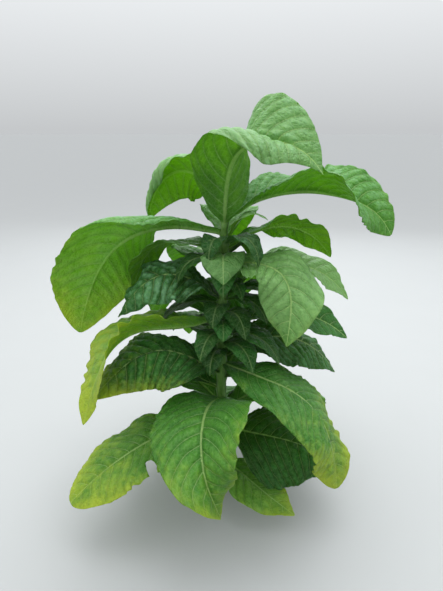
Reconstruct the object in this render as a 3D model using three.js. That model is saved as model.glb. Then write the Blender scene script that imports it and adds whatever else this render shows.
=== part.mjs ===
// A field-grown tobacco plant: one upright stem with a flared foot, broad drooping leaves round it,
// and small young leaves close to it. Millimetres, +Z up. The origin is the centre of the
// stem's flat cut at ground level, +X is to the right and +Y is to the back.
import * as THREE from "three";

// Stem: height, radius at the foot and the tip, flare at the ground, lean and sway
const STEM_HEIGHT = 1175;
const STEM_FOOT_RADIUS = 18;
const STEM_TIP_RADIUS = 9;
const STEM_TAPER_POWER = 2.2;
const FLARE_EXTRA_RADIUS = 7;
const FLARE_HEIGHT = 22;
const LEAN_RIGHT = 10;
const SWAY_LEFT = 4;
const SWAY_BACK = 5;
const STEM_SIDES = 16;
const STEM_RINGS = 26;
const STEM_RING_POWER = 1.6;
const TIP_DOME_HEIGHT = 5;
const TIP_DOME_SHARE = 0.45;

// Leaf bases: clearance from the stem and half the angle that a base reaches round it
const BASE_GAP = 0.3;
const CLASP_ANGLE = 50;

// Blade: share of the length that is its thickness, depth of the rib under it, and the cells
// along and across a large leaf, a leaf at the back and a young leaf
const THICKNESS_SHARE = 0.0102;
const RIB_DEPTH_SHARE = 0.008;
const LARGE_CELLS = [14, 6];
const BACK_CELLS = [12, 4];
const YOUNG_CELLS = [8, 4];
const MIDRIB_STEPS = 240;
const TIP_STATION = 0.982;
const PETIOLE_SHARE = 0.115;
const PETIOLE_REACH = 0.1;
const PHASE_PER_HEIGHT = 0.137;
const SMALL_RIPPLE = 3;

// Colours of the plain solids
const STEM_GREEN = 0x8a9a5c;
const LEAF_GREEN = 0x5f9a45;
const PALE_GREEN = 0x84ad58;
const DARK_GREEN = 0x3f7a3c;
const OLD_GREEN = 0x93a548;

// What a leaf has unless its own entry says otherwise. height is where its base leaves the stem.
// rise (degrees above level), heading (0 right, 90 back, 180 left, 270 front) and roll are read
// at even steps from base to tip, and so are the fold and the curl of each half of the blade.
// left and right are the halves seen from above, looking out from the stem.
const LEAF_DEFAULTS = {
  roll: [0, 0, 0],
  left: [35, 15, 10],
  right: [35, 15, 10],
  curlLeft: [-20, -20, -10],
  curlRight: [-20, -20, -10],
  ripple: 8,
  waves: 3,
  widest: 0.42,
  tipPower: 0.85,
  wing: PETIOLE_SHARE,
  cells: LARGE_CELLS,
  colour: LEAF_GREEN,
};

// The leaves that face the viewer, from the top down, each with its own pose
const LEAVES = {
  leaf_top: {
    height: 1065, length: 532, width: 310, colour: PALE_GREEN,
    rise: [84, 62, -2, -52], heading: [272, 300, 338, 322],
    left: [5, 25, 48, 62, 40], right: [10, 25, 65, 0, -10],
    curlLeft: [-20, -10, -10], curlRight: [-10, -30, -95, -60, -20],
    widest: 0.56, tipPower: 1.4, wing: 0.2,
  },
  leaf_upper_left: {
    height: 1074, length: 460, width: 250, colour: PALE_GREEN,
    rise: [66, 38, -42, -84], heading: [128, 158, 182], roll: [-35, -60, -75],
    left: [10, 30, 25], right: [30, 10, 0], curlLeft: [0, -50, -215, -160],
  },
  leaf_upper_right: {
    height: 1080, length: 680, width: 300,
    rise: [32, 12, -6, -24, -62], heading: [38, 14, 6, 2], roll: [0, 0, 0, -15, -35],
    left: [65, 45, 30, 50, 30], right: [25, 58, 72, 5, -15], curlRight: [-10, -50, -85, -40, -20],
    widest: 0.53, tipPower: 0.7,
  },
  leaf_left_big: {
    height: 1040, length: 720, width: 355,
    rise: [14, -16, -60, -76], heading: [172, 177, 192], roll: [-20, -60, -80],
    left: [30, 20, 0], right: [30, 50, 20, 0], curlLeft: [-40, -100, -50, -10],
    widest: 0.5, tipPower: 0.75,
  },
  leaf_left_inner: {
    height: 990, length: 420, width: 175, colour: PALE_GREEN,
    rise: [5, 3, -55, -78], heading: [168, 169, 182], roll: [0, -20, -40],
    left: [30, 0, 0], right: [30, 10, 0],
  },
  leaf_right_inner: {
    height: 985, length: 430, width: 190,
    rise: [35, 12, -25, -58], heading: [22, 12, 5], roll: [0, 30, 50],
    left: [30, 10, 0], right: [30, 10, 0],
  },
  leaf_right_pale: {
    height: 940, length: 440, width: 230, colour: PALE_GREEN,
    rise: [12, -5, -65, -85], heading: [-25, -55, -145],
    left: [30, 15, 10], right: [0, 15, 10], curlRight: [-30, -20, 0],
    wing: 0.4, ripple: 12,
  },
  leaf_front_pale: {
    height: 962, length: 185, width: 140, colour: PALE_GREEN,
    rise: [40, 5, -40, -70], heading: [268, 270, 272],
    left: [30, 5, -10], right: [30, 5, -10], wing: 0.3, ripple: 6, cells: YOUNG_CELLS,
  },
  leaf_right_behind: {
    height: 865, length: 510, width: 200, colour: PALE_GREEN,
    rise: [20, 10, -28, -55], heading: [15, 12, 6], roll: [0, -15, -40],
  },
  leaf_left_ruffled: {
    height: 810, length: 430, width: 230, colour: DARK_GREEN,
    rise: [50, 25, -35, -60], heading: [187, 195, 200],
    left: [30, -30, -20], right: [35, 18, -10], ripple: 14, waves: 4,
  },
  leaf_left_long: {
    height: 755, length: 640, width: 230, colour: OLD_GREEN,
    rise: [-22, 4, -52, -64], heading: [192, 198, 222, 245],
    left: [50, 50, 10], right: [30, 15, 0], curlLeft: [-10, -10, -10], ripple: 10,
  },
  leaf_right_upper: {
    height: 720, length: 460, width: 200, colour: DARK_GREEN,
    rise: [20, 8, -20, -45], heading: [-2, 2, 2], roll: [0, -10, -40],
  },
  leaf_right_middle: {
    height: 632, length: 490, width: 260, colour: DARK_GREEN,
    rise: [14, 0, -35, -60], heading: [12, 10, 4], right: [10, -20, -20],
  },
  leaf_right_low: {
    height: 570, length: 665, width: 310,
    rise: [5, -14, -65, -80], heading: [-45, -23, -22, -70],
    left: [20, 0, -5], right: [10, 0, 0, 0], widest: 0.5, tipPower: 0.6, wing: 0.2,
  },
  leaf_left_low: {
    height: 530, length: 530, width: 285, colour: DARK_GREEN,
    rise: [45, 27, -30, -50], heading: [200, 200, 202],
    left: [20, -40, -30], right: [20, 10, 5],
  },
  leaf_left_behind: {
    height: 465, length: 560, width: 240, colour: DARK_GREEN,
    rise: [25, 10, -25, -45], heading: [168, 168, 168],
  },
  leaf_front_low: {
    height: 422, length: 560, width: 335,
    rise: [35, 0, -55, -75], heading: [-110, -100, -72, 25],
    left: [30, 30, 60, 50], right: [25, 0, 0], tipPower: 1, widest: 0.38,
  },
  leaf_left_bottom: {
    height: 365, length: 590, width: 275, colour: OLD_GREEN,
    rise: [-2, -8, -24, -38], heading: [208, 208, 210],
    left: [35, 5, -10], right: [35, 10, 5], tipPower: 0.5, widest: 0.55,
  },
  leaf_right_bottom: {
    height: 300, length: 480, width: 360, colour: DARK_GREEN,
    rise: [-8, -5, -20, -50], heading: [-12, -12, -15],
    left: [20, 10, 0], right: [0, -40, -60],
  },
  leaf_front_bottom: {
    height: 150, length: 330, width: 200, colour: OLD_GREEN,
    rise: [4, -8, -14, -18], heading: [-48, -42, -32],
    left: [25, 5, 5], right: [25, 5, 0],
  },
};

// The leaves behind the stem, from the top down: height, heading, length, width, and the rise at
// the base. Their droop grows with the rise that they start from.
const BACK_LEAVES = [
  [1005, 84, 450, 210, 40],
  [880, 112, 500, 240, 26],
  [800, 76, 540, 270, 26],
  [722, 128, 530, 250, 22],
  [655, 55, 560, 270, 22],
  [600, 108, 560, 270, 20],
  [485, 72, 560, 270, 20],
  [400, 130, 550, 270, 15],
  [380, 25, 540, 260, 15],
  [270, 90, 480, 250, 10],
  [240, 165, 430, 230, 8],
];

// The shorter leaves that fill the crown close to the stem, in the same measures
const INNER_LEAVES = [
  [960, 60, 250, 115, 25],
  [940, 208, 200, 95, 34],
  [838, -15, 250, 115, 25],
  [801, 191, 220, 105, 10],
  [700, 150, 220, 105, 10],
  [680, -30, 250, 115, 25],
  [588, 20, 250, 115, 25],
  [565, 120, 250, 115, 25],
  [512, -18, 250, 115, 25],
  [385, 170, 220, 105, 10],
  [352, 40, 250, 115, 25],
];

// The small leaves that spread in front of the stem, in the same measures
const SMALL_LEAVES = [
  [1008, 246, 150, 80, 45],
  [1002, -45, 200, 84, 45],
  [894, 270, 150, 84, 46],
  [874, 302, 130, 66, 32],
  [812, 324, 200, 96, 26],
  [789, 255, 145, 82, 38],
  [768, 298, 180, 90, 30],
  [734, 272, 135, 80, 42],
  [693, 244, 180, 88, 26],
  [655, 305, 200, 96, 28],
  [622, 252, 160, 90, 42],
];

// The upright young leaves near the stem's tip: height, heading, length, width
const YOUNG_LEAVES = [
  [1145, 75, 210, 90],
  [1015, -8, 180, 76],
];
const YOUNG_RISE = [68, 58, 8, -42];

const radians = THREE.MathUtils.degToRad;

// A value that runs smoothly through evenly spaced ones, read at s from 0 to 1
function profile(values, s) {
  const last = values.length - 1;
  const x = THREE.MathUtils.clamp(s, 0, 1) * last;
  const i = Math.min(Math.floor(x), last - 1);
  const f = x - i;
  const before = values[Math.max(i - 1, 0)];
  const start = values[i];
  const end = values[i + 1];
  const after = values[Math.min(i + 2, last)];
  const slopeIn = (end - before) / 2;
  const slopeOut = (after - start) / 2;
  return (2 * f ** 3 - 3 * f ** 2 + 1) * start + (f ** 3 - 2 * f ** 2 + f) * slopeIn
    + (-2 * f ** 3 + 3 * f ** 2) * end + (f ** 3 - f ** 2) * slopeOut;
}

function stemCentre(z) {
  const u = z / STEM_HEIGHT;
  const bow = Math.sin(Math.PI * u);
  return new THREE.Vector3(LEAN_RIGHT * u * u - SWAY_LEFT * bow, SWAY_BACK * bow, z);
}

function stemRadius(z) {
  const u = THREE.MathUtils.clamp(z / STEM_HEIGHT, 0, 1);
  const taper = (STEM_TIP_RADIUS - STEM_FOOT_RADIUS) * u ** STEM_TAPER_POWER;
  return STEM_FOOT_RADIUS + taper + FLARE_EXTRA_RADIUS * Math.exp(-z / FLARE_HEIGHT);
}

// A closed body from rings of points: each ring is joined to the next, and both ends are capped
function closedBody(rings, startCentre, endCentre) {
  const count = rings[0].length;
  const points = [...rings.flat(), startCentre, endCentre];
  const startIndex = points.length - 2;
  const endIndex = points.length - 1;
  const faces = [];
  for (let ring = 0; ring < rings.length - 1; ring += 1) {
    for (let k = 0; k < count; k += 1) {
      const next = (k + 1) % count;
      const a = ring * count + k;
      const b = ring * count + next;
      faces.push([a, b, b + count], [a, b + count, a + count]);
    }
  }
  const lastRing = (rings.length - 1) * count;
  for (let k = 0; k < count; k += 1) {
    const next = (k + 1) % count;
    faces.push([startIndex, next, k], [endIndex, lastRing + k, lastRing + next]);
  }
  return geometryOf(points, faces);
}

function geometryOf(points, faces) {
  const geometry = new THREE.BufferGeometry();
  const numbers = points.flatMap((p) => [p.x, p.y, p.z]);
  geometry.setAttribute("position", new THREE.Float32BufferAttribute(numbers, 3));
  geometry.setIndex(faces.flat());
  geometry.computeVertexNormals();
  return geometry;
}

function stemGeometry() {
  const rings = [];
  for (let i = 0; i <= STEM_RINGS; i += 1) {
    const z = STEM_HEIGHT * (i / STEM_RINGS) ** STEM_RING_POWER;
    rings.push(stemRing(z, stemRadius(z)));
  }
  const top = STEM_HEIGHT + TIP_DOME_HEIGHT;
  rings.push(stemRing(top, stemRadius(top) * TIP_DOME_SHARE));
  return closedBody(rings, stemCentre(0), stemCentre(top));
}

function stemRing(z, radius) {
  const centre = stemCentre(z);
  return Array.from({ length: STEM_SIDES }, (_, k) => {
    const angle = (2 * Math.PI * k) / STEM_SIDES;
    const offset = new THREE.Vector3(Math.cos(angle), Math.sin(angle), 0).multiplyScalar(radius);
    return offset.add(centre);
  });
}

function direction(rise, heading) {
  const flat = Math.cos(rise);
  return new THREE.Vector3(flat * Math.cos(heading), flat * Math.sin(heading), Math.sin(rise));
}

// The midrib's points from the stem's surface to the tip, one more than MIDRIB_STEPS
function midribPath(leaf) {
  const outward = direction(0, radians(leaf.heading[0]));
  const start = stemCentre(leaf.height).addScaledVector(outward, stemRadius(leaf.height) + BASE_GAP);
  const path = [start];
  for (let i = 0; i < MIDRIB_STEPS; i += 1) {
    const s = (i + 0.5) / MIDRIB_STEPS;
    const step = direction(radians(profile(leaf.rise, s)), radians(profile(leaf.heading, s)));
    path.push(path[i].clone().addScaledVector(step, leaf.length / MIDRIB_STEPS));
  }
  return path;
}

// Half the blade's width at s: a narrow winged stalk, a broad middle and a pointed tip
function halfWidth(leaf, s) {
  const swell = Math.sin((Math.PI / 2) * Math.min(s / leaf.widest, 1)) ** 1.35;
  const beyond = Math.max((s - leaf.widest) / (1 - leaf.widest), 0);
  const shrink = Math.cos((Math.PI / 2) * beyond) ** leaf.tipPower;
  const body = s < leaf.widest ? swell : shrink;
  const wing = PETIOLE_SHARE + (leaf.wing - PETIOLE_SHARE) * Math.min(s / PETIOLE_REACH, 1);
  const low = wing * (1 - s) ** 1.5;
  return (leaf.width / 2) * (low * Math.min(1, (1 - s) * 8) + (1 - low) * body);
}

// A point of the blade at s along it and t across it, from -1 on the left margin to 1 on the right
function bladePoint(leaf, path, s, t) {
  const rise = radians(profile(leaf.rise, s));
  const heading = radians(profile(leaf.heading, s));
  const roll = radians(profile(leaf.roll, s));
  const along = direction(rise, heading);
  const level = new THREE.Vector3(Math.sin(heading), -Math.cos(heading), 0);
  const up = level.clone().cross(along);
  const across = level.clone().multiplyScalar(Math.cos(roll)).addScaledVector(up, Math.sin(roll));
  const normal = up.clone().multiplyScalar(Math.cos(roll)).addScaledVector(level, -Math.sin(roll));

  const isLeft = t < 0;
  const reach = Math.abs(t);
  const fold = radians(profile(isLeft ? leaf.left : leaf.right, s));
  const curl = radians(profile(isLeft ? leaf.curlLeft : leaf.curlRight, s)) * reach;
  const chord = curl === 0 ? 1 : Math.sin(curl / 2) / (curl / 2);
  const distance = halfWidth(leaf, s) * reach * chord;
  const turn = leaf.waves * s + leaf.phase + (isLeft ? 0.37 : 0);
  const fade = Math.min(s / 0.2, 1) * Math.min(1, (1 - s) * 6);
  const ripple = leaf.ripple * reach * reach * fade * Math.sin(2 * Math.PI * turn);
  const sideways = distance * Math.cos(fold + curl / 2) - ripple * Math.sin(fold + curl);
  const upwards = distance * Math.sin(fold + curl / 2) + ripple * Math.cos(fold + curl);

  const step = s * MIDRIB_STEPS;
  const i = Math.min(Math.floor(step), MIDRIB_STEPS - 1);
  const onRib = path[i].clone().lerp(path[i + 1], step - i);
  return onRib.addScaledVector(across, Math.sign(t) * sideways).addScaledVector(normal, upwards);
}

// The blade's base row lies on a clear cylinder round the stem, spread to both sides of the heading
function seatOnStem(z, leaf, t, acrossCells) {
  const spacing = radians((2 * CLASP_ANGLE) / acrossCells);
  const radius = (stemRadius(z) + BASE_GAP) / Math.cos(spacing / 2);
  const outward = direction(0, radians(leaf.heading[0] - t * CLASP_ANGLE));
  return stemCentre(z).addScaledVector(outward, radius);
}

function leafGeometry(leaf) {
  const [lengthCells, acrossCells] = leaf.cells;
  const path = midribPath(leaf);
  const stations = [];
  for (let i = 0; i <= lengthCells; i += 1) stations.push(Math.min(i / lengthCells, TIP_STATION));
  const places = [];
  for (let j = 0; j <= acrossCells; j += 1) places.push((2 * j) / acrossCells - 1);
  const grid = stations.map((s) => places.map((t) => bladePoint(leaf, path, s, t)));
  const halfThickness = (leaf.length * THICKNESS_SHARE) / 2;

  const rings = grid.map((row, i) => {
    const upper = [];
    const lower = [];
    row.forEach((point, j) => {
      const rib = j === acrossCells / 2 ? leaf.length * RIB_DEPTH_SHARE * (1 - stations[i]) : 0;
      if (i === 0) {
        upper.push(seatOnStem(point.z + halfThickness, leaf, places[j], acrossCells));
        lower.push(seatOnStem(point.z - halfThickness - rib, leaf, places[j], acrossCells));
        return;
      }
      const alongStep = grid[Math.min(i + 1, lengthCells)][j].clone().sub(grid[i - 1][j]);
      const acrossStep = row[Math.min(j + 1, acrossCells)].clone().sub(row[Math.max(j - 1, 0)]);
      const normal = acrossStep.cross(alongStep).normalize();
      upper.push(point.clone().addScaledVector(normal, halfThickness));
      lower.push(point.clone().addScaledVector(normal, -halfThickness - rib));
    });
    return [...upper, ...lower.reverse()];
  });
  return bladeBody(rings);
}

// A closed body from rings that run across the upper face and back across the lower one. Each cell
// is split along the same diagonal on both faces, so that they stay apart where the blade twists.
function bladeBody(rings) {
  const count = rings[0].length;
  const points = rings.flat();
  const faces = [];
  for (let ring = 0; ring < rings.length - 1; ring += 1) {
    for (let k = 0; k < count; k += 1) {
      const a = ring * count + k;
      const b = ring * count + ((k + 1) % count);
      if (k < count / 2) {
        faces.push([a, b, b + count], [a, b + count, a + count]);
      } else {
        faces.push([a, b, a + count], [b, b + count, a + count]);
      }
    }
  }
  const lastRing = (rings.length - 1) * count;
  for (let k = 0; k < count / 2 - 1; k += 1) {
    const upper = k;
    const lower = count - 1 - k;
    faces.push([upper, lower, lower - 1], [upper, lower - 1, upper + 1]);
    faces.push([lastRing + upper, lastRing + lower - 1, lastRing + lower]);
    faces.push([lastRing + upper, lastRing + upper + 1, lastRing + lower - 1]);
  }
  return geometryOf(points, faces);
}

function addPiece(group, name, geometry, colour) {
  const material = new THREE.MeshStandardMaterial({ color: colour, roughness: 0.6, metalness: 0 });
  const mesh = new THREE.Mesh(geometry, material);
  mesh.name = name;
  group.add(mesh);
}

// Each leaf's margin waves start at their own place
function withDefaults(leaf) {
  return { ...LEAF_DEFAULTS, phase: (leaf.height * PHASE_PER_HEIGHT) % 1, ...leaf };
}

const plant = new THREE.Group();
addPiece(plant, "stem", stemGeometry(), STEM_GREEN);

const allLeaves = { ...LEAVES };
function addRow(stem, rows, colour, cells, ripple) {
  rows.forEach(([height, heading, length, width, baseRise], k) => {
    const rise = [baseRise, baseRise / 3, -25 - baseRise / 2, -45 - baseRise];
    allLeaves[`${stem}_${k + 1}`] = {
      height, length, width, rise, heading: [heading, heading, heading], ripple, cells, colour,
    };
  });
}
addRow("leaf_back", BACK_LEAVES, LEAF_GREEN, BACK_CELLS, LEAF_DEFAULTS.ripple);
addRow("leaf_inner", INNER_LEAVES, DARK_GREEN, BACK_CELLS, SMALL_RIPPLE);
addRow("leaf_small", SMALL_LEAVES, DARK_GREEN, YOUNG_CELLS, SMALL_RIPPLE);
YOUNG_LEAVES.forEach(([height, heading, length, width], k) => {
  allLeaves[`young_leaf_${k + 1}`] = {
    height, length, width, rise: YOUNG_RISE, heading: [heading, heading, heading],
    ripple: SMALL_RIPPLE, cells: YOUNG_CELLS, colour: PALE_GREEN,
  };
});

Object.entries(allLeaves).forEach(([name, entry]) => {
  const leaf = withDefaults(entry);
  addPiece(plant, name, leafGeometry(leaf), leaf.colour);
});

export default plant;
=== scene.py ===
# A field-grown tobacco plant on a pale floor. Every leaf and the stem are built again here, finer,
# by the rule of the plain solids: the same heights, headings, sizes, folds and curls. Side veins,
# quilts and puckers between them, a midrib and a frilled margin are added. Lengths are in
# millimetres, but for those of the camera, the studio and the material patterns, in metres.
import math
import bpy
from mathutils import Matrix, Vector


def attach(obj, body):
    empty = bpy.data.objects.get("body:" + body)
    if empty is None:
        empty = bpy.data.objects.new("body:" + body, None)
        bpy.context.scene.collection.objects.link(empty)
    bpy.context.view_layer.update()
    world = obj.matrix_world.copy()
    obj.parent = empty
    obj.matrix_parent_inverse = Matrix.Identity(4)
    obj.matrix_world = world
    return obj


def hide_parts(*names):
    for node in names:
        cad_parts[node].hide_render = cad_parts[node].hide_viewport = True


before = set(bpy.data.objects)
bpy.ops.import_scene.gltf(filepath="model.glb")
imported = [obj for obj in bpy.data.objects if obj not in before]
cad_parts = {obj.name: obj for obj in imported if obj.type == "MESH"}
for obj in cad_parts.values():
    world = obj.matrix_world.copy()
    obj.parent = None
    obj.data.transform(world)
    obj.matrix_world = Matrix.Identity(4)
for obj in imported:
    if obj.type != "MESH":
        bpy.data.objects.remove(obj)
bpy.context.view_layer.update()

from types import SimpleNamespace

import bpy
import numpy as np

MM = 0.001

# The photograph's view: 443 by 591 pixels, 444 pixels of focal length, 1.4 m off and tilted down
IMAGE_HEIGHT = 591
FOCAL_PIXELS = 444
SENSOR = 36.0
CAMERA_PLACE = (-0.002, -1.40, 1.35)
CAMERA_TILT = 20.5

# The studio: a pale floor, a sky that grows brighter upwards, and soft lights, each with its place,
# the point it faces, its width and height, its power and its colour
FLOOR_HALF = 150.0
FLOOR_COLOUR = (0.40, 0.405, 0.405)
FLOOR_MOTTLE = 0.97
FLOOR_MOTTLE_SCALE = 3.0
SKY_COLOUR = (0.95, 0.98, 1.0)
SKY_LOW = 0.59
SKY_HIGH = 1.8
LIGHTS = {
    "overhead": ((0.2, 0.9, 4.2), (0, 0, 0.8), (4.5, 4.5), 150, (0.96, 1.0, 1.0)),
    "back_soft": ((0.6, 4.2, 2.6), (0, 0, 0.9), (6.0, 2.6), 60, (0.92, 0.98, 1.0)),
    "front_fill": ((-1.8, -3.4, 2.4), (0, 0, 0.7), (2.5, 2.0), 10, (1.0, 1.0, 0.97)),
}

# Stem, with the sizes of its solid
STEM_HEIGHT = 1175
STEM_FOOT_RADIUS = 18
STEM_TIP_RADIUS = 9
STEM_TAPER_POWER = 2.2
FLARE_EXTRA_RADIUS = 7
FLARE_HEIGHT = 22
LEAN_RIGHT = 10
SWAY_LEFT = 4
SWAY_BACK = 5
TIP_DOME_HEIGHT = 5

# Fine mesh of the stem
STEM_ROWS = 360
STEM_SIDES = 60
STEM_ROW_POWER = 1.1
DOME_STEPS = 6
DOME_END_SHARE = 0.02
STEM_PATTERN_RADIUS = 0.015

# Relief of the stem: ribs along it (depth, number round it, twist for each millimetre), lumps, and
# under each leaf base a knot on the leaf's side and a low ring all round
STEM_RIBS = ((0.35, 5, 0.004), (0.2, 11, -0.007))
STEM_SEED = 90
LUMP_DEPTH = 0.35
LUMP_LENGTH = 26
LUMPS_PER_HALF_TURN = 10
KNOT_DEPTH = 3.2
KNOT_DROP = 6
KNOT_HEIGHT = 11
KNOT_ANGLE = 0.9
RING_DEPTH = 0.8
RING_DROP = 3
RING_HEIGHT = 7
RELIEF_ABOVE_FOOT = 4
RELIEF_BELOW_TIP = 8

# Leaf bases: half the angle that a base reaches round the stem, how far along a blade it takes to
# come free of the seat, and how deep a base is sunk into the stem
CLASP_ANGLE = 50
SEAT_SHARE = 1 / 14
SEAT_SINK = 0.6

# Blade, with the rule and the shares of its solid. A slope says how fast something fades out
# before the tip.
MIDRIB_STEPS = 240
PETIOLE_SHARE = 0.115
PETIOLE_REACH = 0.1
SHOULDER_POWER = 1.35
WING_POWER = 1.5
WING_SLOPE = 8
PHASE_PER_HEIGHT = 0.137
RIPPLE_LEFT_LEAD = 0.37
RIPPLE_START = 0.2
RIPPLE_SLOPE = 6
SMALL_RIPPLE = 3

# Fine mesh of a blade: cells along and across, how close the rows come to the tip, and how the
# columns crowd towards the midrib
FINE_CELLS = {"large": (140, 66), "back": (84, 40), "inner": (72, 34), "young": (60, 30)}
FINE_TIP = 0.997
COLUMN_POWER = 1.25
BLADE_THICKNESS = 1.3
MARGIN_THICKNESS = 0.5

# Noise: its lattice, the leaves' seeds, and how far off the left half of a blade reads it
LATTICE = 64
FIRST_SEED = 100
SEED_STEP = 10
LEFT_SHIFT = 7.0
TINT_SEED = 11

# The outline wanders in and out by a share of the half width, in long and short waves
OUTLINE_WANDER = 0.03
WANDER_START = 0.2
LONG_WANDER = 55
SHORT_WANDER = 17
SHORT_WANDER_SHARE = 0.5

# Side veins: their spacing, how they crowd, how far they lean forward, how far the left ones lie
# between the right ones, and how they waver
VEIN_SPACING = 40
VEIN_POWER = 0.92
VEIN_LEAN = 0.45
VEIN_STAGGER = 0.45
VEIN_WAVER = 0.10
VEIN_WAVES_ALONG = 9
VEIN_WAVES_ACROSS = 2

# Relief of a blade. It is full where half the blade is FULL_HALF_WIDTH wide and grows with it to
# MOST_SIZE times that, from a little way out of the base and beside the midrib. RELIEF_LEVEL is
# the share of its depth that lies below the smooth surface, to centre the blade on its solid.
FULL_HALF_WIDTH = 110
MOST_SIZE = 1.2
RELIEF_START = 0.02
RELIEF_GROWTH = 0.12
RIB_SHOULDER = 14
RELIEF_LEVEL = 0.45

# Puffs between the side veins, the quilts across them, and puckers and swells all over
PUFF = 4.4
PUFF_POWER = 0.75
PUFF_MARGIN_LOSS = 0.55
PUFF_USUAL = 0.75
PUFF_VARIES = 0.35
PUFF_PATCH = 60
QUILT = 2.2
QUILT_LENGTH = 19
QUILT_SHIFT = 0.37
QUILT_WAVER = 0.3
QUILT_PATCH = 24
QUILT_VEIN_POWER = 0.8
QUILT_POWER = 0.7
PUCKER = 1.3
PUCKER_WAVE = 13
FINE_PUCKER_SHARE = 0.5
FINE_PUCKER_WAVE = 7
SWELL = 6.0
SWELL_WAVE = 75
MOST_RIDGE = 1.2

# Frill of the margin, in waves and depths that vary along it
FRILL = 4.0
FRILL_LENGTH = 58
FRILL_WAVER = 1.5
FRILL_WAVER_LENGTH = 90
FRILL_USUAL = 0.6
FRILL_VARIES = 0.9
FRILL_PATCH = 65
FRILL_RANGE = (0.1, 1.5)
FRILL_SLOPE = 7

# The midrib and the side ribs stand out below and are grooved above
MIDRIB_DEPTH = 9.0
MIDRIB_DEPTH_LENGTH = 600
MIDRIB_DEPTH_POWER = 1.5
MIDRIB_WIDTH = 6.5
MIDRIB_WIDTH_POWER = 1.1
MIDRIB_TIP_WIDTH = 0.9
MIDRIB_GROOVE = 2.2
MIDRIB_GROOVE_SHARE = 0.55
SIDE_RIB_DEPTH = 1.3
SIDE_RIB_WIDTH = 2.6
SIDE_RIB_LOSS = 0.8
SIDE_GROOVE = 0.7
SIDE_GROOVE_WIDTH = 1.8

# A bite's ragged rim
BITE_RAGGED = 0.22
BITE_RAGGED_RATE = 1.6
BITE_RAGGED_START = 8

# What a leaf has unless its own entry says otherwise. height is where its base leaves the stem.
# rise (degrees above level), heading (0 right, 90 back, 180 left, 270 front) and roll are read
# at even steps from base to tip, and so are the fold and the curl of each half of the blade.
# left and right are the halves seen from above, looking out from the stem.
LEAF_DEFAULTS = dict(
    roll=[0, 0, 0],
    left=[35, 15, 10],
    right=[35, 15, 10],
    curl_left=[-20, -20, -10],
    curl_right=[-20, -20, -10],
    ripple=8,
    waves=3,
    widest=0.42,
    tip_power=0.85,
    wing=PETIOLE_SHARE,
    cells="large",
    look="leaf_green",
)

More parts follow.
